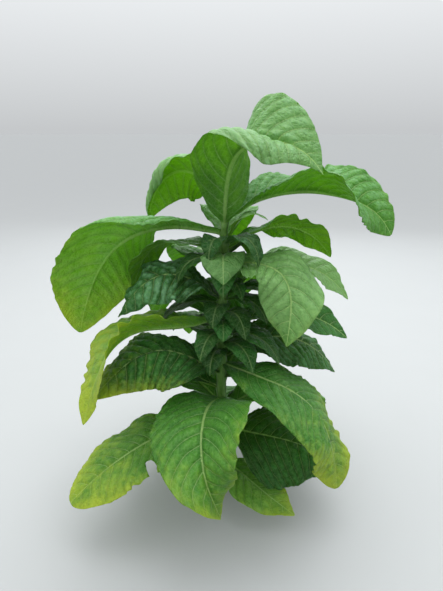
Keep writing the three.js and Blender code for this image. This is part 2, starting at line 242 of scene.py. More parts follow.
# The leaves that face the viewer, from the top down, each with its own pose
LEAVES = {
    "leaf_top": dict(
        height=1065, length=532, width=310, look="leaf_pale",
        rise=[84, 62, -2, -52], heading=[272, 300, 338, 322],
        left=[5, 25, 48, 62, 40], right=[10, 25, 65, 0, -10],
        curl_left=[-20, -10, -10], curl_right=[-10, -30, -95, -60, -20],
        widest=0.56, tip_power=1.4, wing=0.2,
    ),
    "leaf_upper_left": dict(
        height=1074, length=460, width=250, look="leaf_pale",
        rise=[66, 38, -42, -84], heading=[128, 158, 182], roll=[-35, -60, -75],
        left=[10, 30, 25], right=[30, 10, 0], curl_left=[0, -50, -215, -160],
    ),
    "leaf_upper_right": dict(
        height=1080, length=680, width=300,
        rise=[32, 12, -6, -24, -62], heading=[38, 14, 6, 2], roll=[0, 0, 0, -15, -35],
        left=[65, 45, 30, 50, 30], right=[25, 58, 72, 5, -15], curl_right=[-10, -50, -85, -40, -20],
        widest=0.53, tip_power=0.7,
    ),
    "leaf_left_big": dict(
        height=1040, length=720, width=355,
        rise=[14, -16, -60, -76], heading=[172, 177, 192], roll=[-20, -60, -80],
        left=[30, 20, 0], right=[30, 50, 20, 0], curl_left=[-40, -100, -50, -10],
        widest=0.5, tip_power=0.75,
    ),
    "leaf_left_inner": dict(
        height=990, length=420, width=175, look="leaf_pale",
        rise=[5, 3, -55, -78], heading=[168, 169, 182], roll=[0, -20, -40],
        left=[30, 0, 0], right=[30, 10, 0],
    ),
    "leaf_right_inner": dict(
        height=985, length=430, width=190,
        rise=[35, 12, -25, -58], heading=[22, 12, 5], roll=[0, 30, 50],
        left=[30, 10, 0], right=[30, 10, 0],
    ),
    "leaf_right_pale": dict(
        height=940, length=440, width=230, look="leaf_pale",
        rise=[12, -5, -65, -85], heading=[-25, -55, -145],
        left=[30, 15, 10], right=[0, 15, 10], curl_right=[-30, -20, 0],
        wing=0.4, ripple=12,
    ),
    "leaf_front_pale": dict(
        height=962, length=185, width=140, look="leaf_pale",
        rise=[40, 5, -40, -70], heading=[268, 270, 272],
        left=[30, 5, -10], right=[30, 5, -10], wing=0.3, ripple=6, cells="young",
    ),
    "leaf_right_behind": dict(
        height=865, length=510, width=200, look="leaf_pale",
        rise=[20, 10, -28, -55], heading=[15, 12, 6], roll=[0, -15, -40],
    ),
    "leaf_left_ruffled": dict(
        height=810, length=430, width=230, look="leaf_dark",
        rise=[50, 25, -35, -60], heading=[187, 195, 200],
        left=[30, -30, -20], right=[35, 18, -10], ripple=14, waves=4,
    ),
    "leaf_left_long": dict(
        height=755, length=640, width=230, look="leaf_old",
        rise=[-22, 4, -52, -64], heading=[192, 198, 222, 245],
        left=[50, 50, 10], right=[30, 15, 0], curl_left=[-10, -10, -10], ripple=10,
    ),
    "leaf_right_upper": dict(
        height=720, length=460, width=200, look="leaf_dark",
        rise=[20, 8, -20, -45], heading=[-2, 2, 2], roll=[0, -10, -40],
    ),
    "leaf_right_middle": dict(
        height=632, length=490, width=260, look="leaf_dark",
        rise=[14, 0, -35, -60], heading=[12, 10, 4], right=[10, -20, -20],
    ),
    "leaf_right_low": dict(
        height=570, length=665, width=310,
        rise=[5, -14, -65, -80], heading=[-45, -23, -22, -70],
        left=[20, 0, -5], right=[10, 0, 0, 0], widest=0.5, tip_power=0.6, wing=0.2,
    ),
    "leaf_left_low": dict(
        height=530, length=530, width=285, look="leaf_dark",
        rise=[45, 27, -30, -50], heading=[200, 200, 202],
        left=[20, -40, -30], right=[20, 10, 5],
    ),
    "leaf_left_behind": dict(
        height=465, length=560, width=240, look="leaf_dark",
        rise=[25, 10, -25, -45], heading=[168, 168, 168],
    ),
    "leaf_front_low": dict(
        height=422, length=560, width=335,
        rise=[35, 0, -55, -75], heading=[-110, -100, -72, 25],
        left=[30, 30, 60, 50], right=[25, 0, 0], tip_power=1, widest=0.38,
    ),
    "leaf_left_bottom": dict(
        height=365, length=590, width=275, look="leaf_old",
        rise=[-2, -8, -24, -38], heading=[208, 208, 210],
        left=[35, 5, -10], right=[35, 10, 5], tip_power=0.5, widest=0.55,
    ),
    "leaf_right_bottom": dict(
        height=300, length=480, width=360, look="leaf_dark",
        rise=[-8, -5, -20, -50], heading=[-12, -12, -15],
        left=[20, 10, 0], right=[0, -40, -60],
    ),
    "leaf_front_bottom": dict(
        height=150, length=330, width=200, look="leaf_old",
        rise=[4, -8, -14, -18], heading=[-48, -42, -32],
        left=[25, 5, 5], right=[25, 5, 0],
    ),
}

# The leaves behind the stem, from the top down: height, heading, length, width, and the rise at
# the base. They droop by these angles halfway out and at the tip, and more if they rise more.
HALFWAY_DROOP = 25
TIP_DROOP = 45
BACK_LEAVES = [
    (1005, 84, 450, 210, 40),
    (880, 112, 500, 240, 26),
    (800, 76, 540, 270, 26),
    (722, 128, 530, 250, 22),
    (655, 55, 560, 270, 22),
    (600, 108, 560, 270, 20),
    (485, 72, 560, 270, 20),
    (400, 130, 550, 270, 15),
    (380, 25, 540, 260, 15),
    (270, 90, 480, 250, 10),
    (240, 165, 430, 230, 8),
]

# The shorter leaves that fill the crown close to the stem, in the same measures
INNER_LEAVES = [
    (960, 60, 250, 115, 25),
    (940, 208, 200, 95, 34),
    (838, -15, 250, 115, 25),
    (801, 191, 220, 105, 10),
    (700, 150, 220, 105, 10),
    (680, -30, 250, 115, 25),
    (588, 20, 250, 115, 25),
    (565, 120, 250, 115, 25),
    (512, -18, 250, 115, 25),
    (385, 170, 220, 105, 10),
    (352, 40, 250, 115, 25),
]

# The small leaves that spread in front of the stem, in the same measures
SMALL_LEAVES = [
    (1008, 246, 150, 80, 45),
    (1002, -45, 200, 84, 45),
    (894, 270, 150, 84, 46),
    (874, 302, 130, 66, 32),
    (812, 324, 200, 96, 26),
    (789, 255, 145, 82, 38),
    (768, 298, 180, 90, 30),
    (734, 272, 135, 80, 42),
    (693, 244, 180, 88, 26),
    (655, 305, 200, 96, 28),
    (622, 252, 160, 90, 42),
]

# The upright young leaves near the stem's tip: height, heading, length, width
YOUNG_LEAVES = [
    (1145, 75, 210, 90),
    (1015, -8, 180, 76),
]
YOUNG_RISE = [68, 58, 8, -42]

# How far each leaf has yellowed, from 0 to 1, where it isn't the usual amount for its look
USUAL_AGE = {"leaf_green": 0.25, "leaf_pale": 0.12, "leaf_dark": 0.05, "leaf_old": 0.75}
AGE = {
    "leaf_left_long": 0.8,
    "leaf_left_bottom": 0.6,
    "leaf_left_low": 0.56,
    "leaf_right_low": 0.58,
    "leaf_front_low": 0.46,
    "leaf_left_big": 0.5,
    "leaf_right_pale": 0.3,
    "leaf_right_bottom": 0.1,
    "leaf_front_bottom": 0.5,
}

# How light each leaf is within its look, from -1 to 1, where it isn't left to chance. Besides the
# leaf's own tone, these paint light and shade: higher for a leaf lit through from behind, lower for
# a leaf in shade
TINT_AND_SHADE = {
    "leaf_top": -0.4,
    "leaf_upper_left": 1.0,
    "leaf_upper_right": -0.3,
    "leaf_left_big": 0.8,
    "leaf_left_inner": 0.2,
    "leaf_right_pale": 0.0,
    "leaf_front_pale": -0.9,
    "leaf_left_ruffled": -0.5,
    "leaf_left_long": 1.0,
    "leaf_left_low": -0.5,
    "leaf_right_low": -0.6,
    "leaf_front_low": -0.5,
    "leaf_left_bottom": -1.0,
    "leaf_right_bottom": -0.9,
    "leaf_right_middle": -0.6,
}

# How strong the painted sheen of each leaf is, from 0 to 1: a bluish reflection of the sky painted
# on its lit folds, and on its underside too where it is strong
PAINTED_SHEEN = {
    "leaf_left_ruffled": 0.75,
    "leaf_upper_right": 0.5,
    "leaf_small_2": 0.9,
    "leaf_right_middle": 0.3,
    "leaf_right_low": 0.15,
    "leaf_left_big": 1.0,
    "leaf_left_long": 0.4,
    "leaf_top": 0.45,
    "leaf_upper_left": 0.45,
}

# How deep the frill of the margin is where it isn't the usual depth
FRILLS = {
    "leaf_left_ruffled": 9.0,
    "leaf_left_long": 8.0,
    "leaf_right_inner": 6.5,
    "leaf_upper_right": 5.5,
}

# How many times their usual depth the puffs, quilts and puckers have
RELIEF = {
    "leaf_left_ruffled": 2.3,
    "leaf_left_low": 2.0,
    "leaf_right_bottom": 1.4,
    "leaf_right_middle": 1.4,
}

# Pieces eaten out of a blade: place along and across, and half-lengths in the same measures
BITES = {"leaf_left_bottom": (0.52, -0.86, 0.03, 0.2)}

# Colours, linear. Each look has a deep and a light green above, and a deep one below.
LOOKS = {
    "leaf_green": dict(
        deep=(0.022, 0.13, 0.012),
        light=(0.10, 0.28, 0.036),
        under=(0.05, 0.20, 0.004),
        gloss=0.28,
    ),
    "leaf_pale": dict(
        deep=(0.075, 0.20, 0.045),
        light=(0.195, 0.375, 0.12),
        under=(0.035, 0.15, 0.004),
        gloss=0.35,
    ),
    "leaf_dark": dict(
        deep=(0.006, 0.050, 0.007),
        light=(0.04, 0.19, 0.036),
        under=(0.018, 0.09, 0.004),
        gloss=0.2,
    ),
    "leaf_old": dict(
        deep=(0.05, 0.17, 0.014),
        light=(0.16, 0.33, 0.05),
        under=(0.065, 0.23, 0.03),
        gloss=0.28,
    ),
}
# The light green below for all looks: painted light that shines through a leaf lit from behind
UNDER_BACKLIT = (0.15, 0.33, 0.010)
# The painted sheen's colour: a bluish reflection of the sky
PAINTED_SHEEN_COLOUR = (0.18, 0.35, 0.21)
VEIN_COLOUR = (0.40, 0.55, 0.20)
YELLOW = (0.38, 0.43, 0.03)
BROWN = (0.16, 0.085, 0.025)
STEM_DEEP = (0.055, 0.165, 0.018)
STEM_LIGHT = (0.15, 0.30, 0.06)
STEM_PALE = (0.22, 0.36, 0.11)
STEM_EARTHY = (0.20, 0.155, 0.07)

# Light that shines through a leaf: its share, its tint, and how much it gains
THROUGH_SHARE = 0.26
THROUGH_TINT = (0.55, 0.85, 0.05)
THROUGH_GAIN = (1.9, 2.0, 1.2)

# Painted shade near the stem: how much lower the inner and the small leaves are in lightness
CROWN_SHADE = 0.8

# Patterns, as waves or cells to a metre. PATTERN_STEP sets the leaves' patterns apart by seed.
PATCH_SCALE = 11.0
BLOTCH_SCALE = 45.0
SPECK_SCALE = 150.0
GRAIN_SCALE = 420.0
NET_SCALE = 95.0
STREAK_SCALE = 700.0
BAND_SCALE = 160.0
STEM_PATCH_SCALE = 30.0
STEM_GRAIN_SCALE = 900.0
PATTERN_STEP = 0.37

# Drawn veins: a side vein's width as a share of the spacing, at the midrib and what it gains by
# the margin, and the midrib's in metres, at the base and what it gains by the tip. Leaves that
# are narrower than STRONG_VEIN_WIDTH have fainter ones.
VEIN_LINE = (0.036, -0.022)
RIB_LINE = (0.0052, -0.0040)
STRONG_VEIN_WIDTH = 200


def profile(values, s):
    """A value that runs smoothly through evenly spaced ones, read at s from 0 to 1."""
    values = np.asarray(values, float)
    last = len(values) - 1
    x = np.clip(s, 0, 1) * last
    i = np.minimum(np.floor(x).astype(int), last - 1)
    f = x - i
    before = values[np.maximum(i - 1, 0)]
    start = values[i]
    end = values[i + 1]
    after = values[np.minimum(i + 2, last)]
    slope_in = (end - before) / 2
    slope_out = (after - start) / 2
    return (
        (2 * f**3 - 3 * f**2 + 1) * start + (f**3 - 2 * f**2 + f) * slope_in
        + (-2 * f**3 + 3 * f**2) * end + (f**3 - f**2) * slope_out
    )


def noise(seed, x, y):
    """Smooth noise from -1 to 1 over a plane, one wave to a unit."""
    lattice = np.random.default_rng(seed).uniform(-1, 1, (LATTICE, LATTICE))
    i = np.floor(x).astype(int)
    j = np.floor(y).astype(int)
    u = x - i
    v = y - j
    u = u * u * (3 - 2 * u)
    v = v * v * (3 - 2 * v)

    def corner(a, b):
        return lattice[(i + a) % LATTICE, (j + b) % LATTICE]

    low = corner(0, 0) * (1 - u) + corner(1, 0) * u
    high = corner(0, 1) * (1 - u) + corner(1, 1) * u
    return low * (1 - v) + high * v


def dent(distance, width):
    """1 on a line, falling away smoothly over the width."""
    return np.exp(-((distance / width) ** 2))


def arch(turn, power):
    """Arches from 0 at whole turns to 1 between them. A low power makes them blunt."""
    return np.abs(np.sin(np.pi * turn)) ** power


def direction(rise, heading):
    """Unit vectors that rise above level and head round the stem by these angles."""
    flat = np.cos(rise)
    return np.stack([flat * np.cos(heading), flat * np.sin(heading), np.sin(rise)], -1)


def stem_centre(z):
    """Points on the axis of the stem, which leans and sways."""
    u = np.asarray(z) / STEM_HEIGHT
    bow = np.sin(np.pi * u)
    return np.stack([LEAN_RIGHT * u * u - SWAY_LEFT * bow, SWAY_BACK * bow, u * STEM_HEIGHT], -1)


def stem_radius(z):
    u = np.clip(np.asarray(z) / STEM_HEIGHT, 0, 1)
    taper = (STEM_TIP_RADIUS - STEM_FOOT_RADIUS) * u**STEM_TAPER_POWER
    return STEM_FOOT_RADIUS + taper + FLARE_EXTRA_RADIUS * np.exp(-np.asarray(z) / FLARE_HEIGHT)


def midrib_path(leaf):
    """The midrib's points from the stem's surface to the tip, one more than MIDRIB_STEPS."""
    outward = direction(0.0, math.radians(leaf["heading"][0]))
    start = stem_centre(leaf["height"]) + outward * stem_radius(leaf["height"])
    s = (np.arange(MIDRIB_STEPS) + 0.5) / MIDRIB_STEPS
    rise = np.radians(profile(leaf["rise"], s))
    heading = np.radians(profile(leaf["heading"], s))
    walked = np.cumsum(direction(rise, heading) * leaf["length"] / MIDRIB_STEPS, axis=0)
    return start + np.vstack([np.zeros(3), walked])


def half_width(leaf, s):
    """Half the blade's width at s: a narrow winged stalk, a broad middle and a pointed tip."""
    widest = leaf["widest"]
    shoulder = np.sin(np.pi / 2 * np.minimum(s / widest, 1)) ** SHOULDER_POWER
    beyond = np.maximum((s - widest) / (1 - widest), 0)
    shrink = np.cos(np.pi / 2 * np.minimum(beyond, 1)) ** leaf["tip_power"]
    body = np.where(s < widest, shoulder, shrink)
    wing = PETIOLE_SHARE + (leaf["wing"] - PETIOLE_SHARE) * np.minimum(s / PETIOLE_REACH, 1)
    low = wing * (1 - s) ** WING_POWER
    return leaf["width"] / 2 * (low * np.minimum(1, (1 - s) * WING_SLOPE) + (1 - low) * body)


def blade_surface(leaf, s, t, spread):
    """Points at s along the blade and t across it, from -1 on the left margin to 1 on the right."""
    rise = np.radians(profile(leaf["rise"], s))
    heading = np.radians(profile(leaf["heading"], s))
    roll = np.radians(profile(leaf["roll"], s))[..., None]
    along = direction(rise, heading)
    level = np.stack([np.sin(heading), -np.cos(heading), np.zeros_like(heading)], -1)
    up = np.cross(level, along)
    across = level * np.cos(roll) + up * np.sin(roll)
    normal = up * np.cos(roll) - level * np.sin(roll)

    is_left = t < 0
    reach = np.abs(t)
    folds = np.where(is_left, profile(leaf["left"], s), profile(leaf["right"], s))
    curls = np.where(is_left, profile(leaf["curl_left"], s), profile(leaf["curl_right"], s))
    fold = np.radians(folds)
    curl = np.radians(curls) * reach
    distance = half_width(leaf, s) * spread * reach * np.sinc(curl / (2 * np.pi))
    turn = leaf["waves"] * s + leaf["phase"] + np.where(is_left, RIPPLE_LEFT_LEAD, 0)
    fade = np.minimum(s / RIPPLE_START, 1) * np.minimum(1, (1 - s) * RIPPLE_SLOPE)
    ripple = leaf["ripple"] * reach**2 * fade * np.sin(2 * np.pi * turn)
    sideways = distance * np.cos(fold + curl / 2) - ripple * np.sin(fold + curl)
    upwards = distance * np.sin(fold + curl / 2) + ripple * np.cos(fold + curl)

    path = midrib_path(leaf)
    step = s * MIDRIB_STEPS
    i = np.minimum(np.floor(step).astype(int), MIDRIB_STEPS - 1)
    part = (step - i)[..., None]
    on_rib = path[i] * (1 - part) + path[i + 1] * part
    return on_rib + across * (np.sign(t) * sideways)[..., None] + normal * upwards[..., None]


def grid_normals(points):
    """Unit normals at the points of a grid, towards the upper side of a blade."""
    along = np.gradient(points, axis=0)
    across = np.gradient(points, axis=1)
    normal = np.cross(across, along)
    return normal / np.maximum(np.linalg.norm(normal, axis=-1, keepdims=True), 1e-9)


def bite_cut(bite, s, t, seed):
    """Moves grid points onto a bite's ragged rim. Returns s, t and which cells are left."""
    kept = np.ones((s.shape[0] - 1, s.shape[1] - 1), bool)
    if bite is None:
        return s, t, kept
    s0, t0, half_s, half_t = bite
    ds = (s - s0) / half_s
    dt = (t - t0) / half_t
    distance = np.hypot(ds, dt)
    round_it = np.arctan2(dt, ds) * BITE_RAGGED_RATE + BITE_RAGGED_START
    rim = 1 + BITE_RAGGED * noise(seed, round_it, np.zeros_like(s))
    inside = (distance < rim).astype(int)
    eaten = inside[:-1, :-1] + inside[1:, :-1] + inside[:-1, 1:] + inside[1:, 1:] >= 2
    kept = ~eaten
    beside_kept = np.zeros(s.shape, bool)
    beside_eaten = np.zeros(s.shape, bool)
    for rows in (slice(0, -1), slice(1, None)):
        for columns in (slice(0, -1), slice(1, None)):
            beside_kept[rows, columns] |= kept
            beside_eaten[rows, columns] |= eaten
    on_rim = beside_kept & beside_eaten
    pull = np.where(on_rim, rim / np.maximum(distance, 1e-6), 1)
    return s0 + ds * pull * half_s, np.clip(t0 + dt * pull * half_t, -1, 1), kept


def seat_on_stem(points, z, leaf, s, t):
    """Runs a blade's base down onto the stem's surface, spread to both sides of its heading."""
    outward = direction(np.zeros_like(t), np.radians(leaf["heading"][0] - t * CLASP_ANGLE))
    seat = stem_centre(z) + outward * (stem_radius(z) - SEAT_SINK)[..., None]
    free = np.clip(s / SEAT_SHARE, 0, 1)[..., None]
    return seat * (1 - free) + points * free


def mesh_object(name, points, faces, smooth, attributes, material):
    """A mesh from points in millimetres and four-sided faces. An attribute is a vector a point."""
    used = np.unique(faces)
    renumber = np.zeros(len(points), int)
    renumber[used] = np.arange(len(used))
    faces = renumber[faces]
    mesh = bpy.data.meshes.new(name)
    mesh.vertices.add(len(used))
    mesh.vertices.foreach_set("co", (points[used] * MM).astype(np.float32).ravel())
    mesh.loops.add(faces.size)
    mesh.loops.foreach_set("vertex_index", faces.astype(np.int32).ravel())
    mesh.polygons.add(len(faces))
    mesh.polygons.foreach_set("loop_start", np.arange(0, faces.size, 4, dtype=np.int32))
    mesh.polygons.foreach_set("use_smooth", smooth)
    for label, values in attributes.items():
        layer = mesh.attributes.new(label, "FLOAT_VECTOR", "POINT")
        layer.data.foreach_set("vector", values[used].astype(np.float32).ravel())
    mesh.update(calc_edges=True)
    mesh.materials.append(material)
    obj = bpy.data.objects.new(name, mesh)
    bpy.context.scene.collection.objects.link(obj)
    return obj


def shell_faces(kept):
    """A closed shell over a grid: its upper side, its lower side, and a wall round every edge."""
    rows, columns = kept.shape
    index = np.arange((rows + 1) * (columns + 1)).reshape(rows + 1, columns + 1)
    below = index.size
    a, b = index[:-1, :-1], index[:-1, 1:]
    c, d = index[1:, 1:], index[1:, :-1]
    upper = np.stack([a[kept], b[kept], c[kept], d[kept]], -1)
    lower = upper[:, ::-1] + below

    solid = np.pad(kept, 1)
    sides = (
        (a, b, solid[:-2, 1:-1]),
        (b, c, solid[1:-1, 2:]),
        (c, d, solid[2:, 1:-1]),
        (d, a, solid[1:-1, :-2]),
    )
    walls = []
    for first, second, neighbour in sides:
        edge = kept & ~neighbour
        start, end = first[edge], second[edge]
        walls.append(np.stack([end, start, start + below, end + below], -1))
    walls = np.vstack(walls)
    smooth = np.r_[np.ones(len(upper) + len(lower), bool), np.zeros(len(walls), bool)]
    return np.vstack([upper, lower, walls]), smooth


def blade_grid(name, leaf, seed):
    """A blade's fine grid, the cells that a bite leaves, and what its relief is worked out from."""
    rows, columns = FINE_CELLS[leaf["cells"]]
    q = np.linspace(-1, 1, columns + 1)
    t = np.sign(q) * np.abs(q) ** COLUMN_POWER
    s, t = np.meshgrid(np.linspace(0, FINE_TIP, rows + 1), t, indexing="ij")
    s, t, kept = bite_cut(BITES.get(name), s, t, seed)
    reach = np.abs(t)
    side = np.where(t < 0, LEFT_SHIFT, 0.0)
    length = leaf["length"]
    half = half_width(leaf, s)
    along = s * length
    from_rib = half * reach

    wander = noise(seed, along / LONG_WANDER, side)
    wander = wander + SHORT_WANDER_SHARE * noise(seed + 1, along / SHORT_WANDER, side)
    spread = 1 + OUTLINE_WANDER * wander * np.minimum(s / WANDER_START, 1)

    lean = half / length * (VEIN_LEAN * reach + VEIN_LEAN * reach**2)
    root = np.clip(s - lean, 0, 1)
    vein = length / VEIN_SPACING * root**VEIN_POWER + np.where(t < 0, VEIN_STAGGER, 0)
    waver = noise(seed + 2, s * VEIN_WAVES_ALONG, side + reach * VEIN_WAVES_ACROSS)
    vein = vein + VEIN_WAVER * waver
    return SimpleNamespace(
        s=s, t=t, kept=kept, spread=spread, reach=reach, side=side, along=along, from_rib=from_rib,
        vein=vein, off_vein=np.abs(vein - np.round(vein)) * VEIN_SPACING,
        size=np.minimum(half / FULL_HALF_WIDTH, MOST_SIZE),
        near_rib=np.clip(from_rib / RIB_SHOULDER, 0, 1),
    )


def blade_relief(g, leaf, seed):
    """How far the blade of grid g stands out of its smooth surface, and how high its quilts are."""

    def patches(number, wave):
        return noise(seed + number, g.along / wave, g.from_rib / wave + g.side)

    puff = PUFF * g.size * arch(g.vein, PUFF_POWER) * g.near_rib
    puff = puff * (1 - PUFF_MARGIN_LOSS * g.reach**3)
    puff = puff * (PUFF_USUAL + PUFF_VARIES * patches(3, PUFF_PATCH))
    quilt_turn = g.from_rib / QUILT_LENGTH + QUILT_SHIFT * np.floor(g.vein)
    quilt_turn = quilt_turn + QUILT_WAVER * patches(8, QUILT_PATCH)
    quilt = QUILT * g.size * arch(g.vein, QUILT_VEIN_POWER) * arch(quilt_turn, QUILT_POWER)
    quilt = quilt * g.near_rib
    pucker = PUCKER * patches(4, PUCKER_WAVE) * g.near_rib
    pucker = pucker + FINE_PUCKER_SHARE * PUCKER * patches(5, FINE_PUCKER_WAVE) * g.near_rib
    swell = SWELL * g.size * patches(6, SWELL_WAVE) * g.near_rib

    turn = g.along / FRILL_LENGTH
    turn = turn + FRILL_WAVER * noise(seed + 7, g.along / FRILL_WAVER_LENGTH, g.side)
    depth = FRILL_USUAL + FRILL_VARIES * noise(seed + 9, g.along / FRILL_PATCH, g.side)
    depth = leaf["frill"] * np.clip(depth, *FRILL_RANGE)
    frill = depth * g.size * g.reach**4 * np.sin(2 * np.pi * turn)
    frill = frill * np.clip((1 - g.s) * FRILL_SLOPE, 0, 1)

    level = RELIEF_LEVEL * (PUFF + QUILT) * g.size
    free = np.clip((g.s - RELIEF_START) / RELIEF_GROWTH, 0, 1)
    offset = ((puff + quilt + pucker - level) * leaf["relief"] + swell + frill) * free
    return offset, np.clip((puff + quilt + pucker) / (PUFF + QUILT), 0, MOST_RIDGE)


def blade_ribs(g, leaf):
    """How deep the blade of grid g is grooved over its veins, and how far the ribs hang below."""
    slim = 1 - g.s
    width = MIDRIB_WIDTH * slim**MIDRIB_WIDTH_POWER + MIDRIB_TIP_WIDTH
    groove = MIDRIB_GROOVE * slim * dent(g.from_rib, width * MIDRIB_GROOVE_SHARE)
    groove = groove + SIDE_GROOVE * g.size * dent(g.off_vein, SIDE_GROOVE_WIDTH) * g.near_rib
    depth = MIDRIB_DEPTH * leaf["length"] / MIDRIB_DEPTH_LENGTH * slim**MIDRIB_DEPTH_POWER
    side_depth = SIDE_RIB_DEPTH * g.size * (1 - SIDE_RIB_LOSS * g.reach)
    side_rib = side_depth * dent(g.off_vein, SIDE_RIB_WIDTH) * g.near_rib
    return groove, depth * dent(g.from_rib, width) + side_rib


def blade_attributes(g, name, leaf, seed, ridge):
    """What the leaf material reads at each point, for the upper side and then the lower side."""

    def everywhere(value):
        return np.full(g.s.shape, value)

    pattern_start = everywhere(seed * PATTERN_STEP)
    vein_strength = everywhere(min(1.0, leaf["width"] / STRONG_VEIN_WIDTH))
    both_sides = {
        "leaf_place": (g.along * MM, g.from_rib * np.sign(g.t) * MM, pattern_start),
        "leaf_veins": (g.vein, g.reach, g.s),
        # The ridge and the strength of the painted sheen, which the material turns into painted
        # light, shade and sheen
        "leaf_forms": (ridge, everywhere(PAINTED_SHEEN.get(name, 0.0)), vein_strength),
    }
    attributes = {}
    for label, values in both_sides.items():
        attributes[label] = np.vstack([np.stack(values, -1).reshape(-1, 3)] * 2)
    age = AGE.get(name, USUAL_AGE[leaf["look"]])
    # The third value lightens or darkens the whole leaf: its own tone, with painted light and shade
    tones = [np.tile([is_upper, age, leaf["tint_and_shade"]], (g.s.size, 1)) for is_upper in (1.0, 0.0)]
    attributes["leaf_tone"] = np.vstack(tones)
    return attributes


def fine_leaf(name, leaf, seed, material):
    """One leaf as a closed thin shell with its relief on both sides."""
    g = blade_grid(name, leaf, seed)
    offset, ridge = blade_relief(g, leaf, seed)
    groove, rib = blade_ribs(g, leaf)
    thickness = BLADE_THICKNESS * (1 - g.reach**3) + MARGIN_THICKNESS * g.reach**3

    middle = blade_surface(leaf, g.s, g.t, g.spread)
    middle = middle + grid_normals(middle) * offset[..., None]
    normal = grid_normals(middle)
    upper = middle + normal * (thickness / 2 - groove)[..., None]
    lower = middle - normal * (thickness / 2 + rib)[..., None]
    upper = seat_on_stem(upper, middle[..., 2] + thickness / 2, leaf, g.s, g.t)
    lower = seat_on_stem(lower, middle[..., 2] - thickness / 2 - rib, leaf, g.s, g.t)

    faces, smooth = shell_faces(g.kept)
    points = np.vstack([upper.reshape(-1, 3), lower.reshape(-1, 3)])
    attributes = blade_attributes(g, name, leaf, seed, ridge)
    return mesh_object(f"{name}_blade", points, faces, smooth, attributes, material)


def stem_relief(leaves, z, angle):
    """Ribs, lumps, and the knot and the ring under each leaf base, fading out at both ends."""
    relief = sum(depth * np.cos(count * angle + z * twist) for depth, count, twist in STEM_RIBS)
    around = angle * LUMPS_PER_HALF_TURN / np.pi
    relief = relief + LUMP_DEPTH * noise(STEM_SEED, z / LUMP_LENGTH + angle * 0, around)
    for leaf in leaves.values():
        off = np.angle(np.exp(1j * (angle - np.radians(leaf["heading"][0]))))
        above = z - leaf["height"]
        knot = dent(above + KNOT_DROP, KNOT_HEIGHT) * dent(off, KNOT_ANGLE)
        relief = relief + KNOT_DEPTH * knot + RING_DEPTH * dent(above + RING_DROP, RING_HEIGHT)
    fade = np.clip(z / RELIEF_ABOVE_FOOT, 0, 1)
    return relief * fade * np.clip((STEM_HEIGHT - z) / RELIEF_BELOW_TIP, 0, 1)


def fine_stem(leaves, material):
    """The stem with its relief, a low dome on its tip, and a flat foot."""
    z = np.linspace(0, 1, STEM_ROWS + 1)[:, None] ** STEM_ROW_POWER * STEM_HEIGHT
    angle = np.linspace(0, 2 * np.pi, STEM_SIDES, endpoint=False)[None, :]
    outward = direction(np.zeros_like(angle + z), angle + z * 0)
    radius = stem_radius(z) + stem_relief(leaves, z, angle)
    points = stem_centre(z + angle * 0) + outward * radius[..., None]

    for k in range(1, DOME_STEPS + 1):
        turn = k / DOME_STEPS * np.pi / 2
        radius = STEM_TIP_RADIUS * max(math.cos(turn), DOME_END_SHARE)
        ring = stem_centre(np.full((1, STEM_SIDES), STEM_HEIGHT)) + outward[:1] * radius
        ring[..., 2] = STEM_HEIGHT + TIP_DOME_HEIGHT * math.sin(turn)
        points = np.concatenate([points, ring])

    rows = points.shape[0]
    index = np.arange(rows * STEM_SIDES).reshape(rows, STEM_SIDES)
    a = index[:-1]
    d = index[1:]
    b = np.roll(a, -1, axis=1)
    c = np.roll(d, -1, axis=1)
    faces = np.stack([a, b, c, d], -1).reshape(-1, 4)
    turned = np.concatenate([np.cos(angle), np.sin(angle)]).T[None] * STEM_PATTERN_RADIUS
    turned = np.broadcast_to(turned, (rows, STEM_SIDES, 2))
    place = np.concatenate([turned, points[..., 2:] * MM], -1).reshape(-1, 3)
    points = points.reshape(-1, 3)

    top = STEM_HEIGHT + TIP_DOME_HEIGHT
    foot = len(points)
    points = np.vstack([points, stem_centre(0), [*stem_centre(STEM_HEIGHT)[:2], top]])
    place = np.vstack([place, [0, 0, 0], [0, 0, top * MM]])
    pairs = np.arange(0, STEM_SIDES, 2)
    last = (rows - 1) * STEM_SIDES
    caps = [[foot, (k + 2) % STEM_SIDES, k + 1, k] for k in pairs]
    caps += [[foot + 1, last + k, last + k + 1, last + (k + 2) % STEM_SIDES] for k in pairs]
    smooth = np.r_[np.ones(len(faces), bool), np.zeros(len(caps), bool)]
    faces = np.vstack([faces, caps])
    return mesh_object("stem_skin", points, faces, smooth, {"stem_place": place}, material)


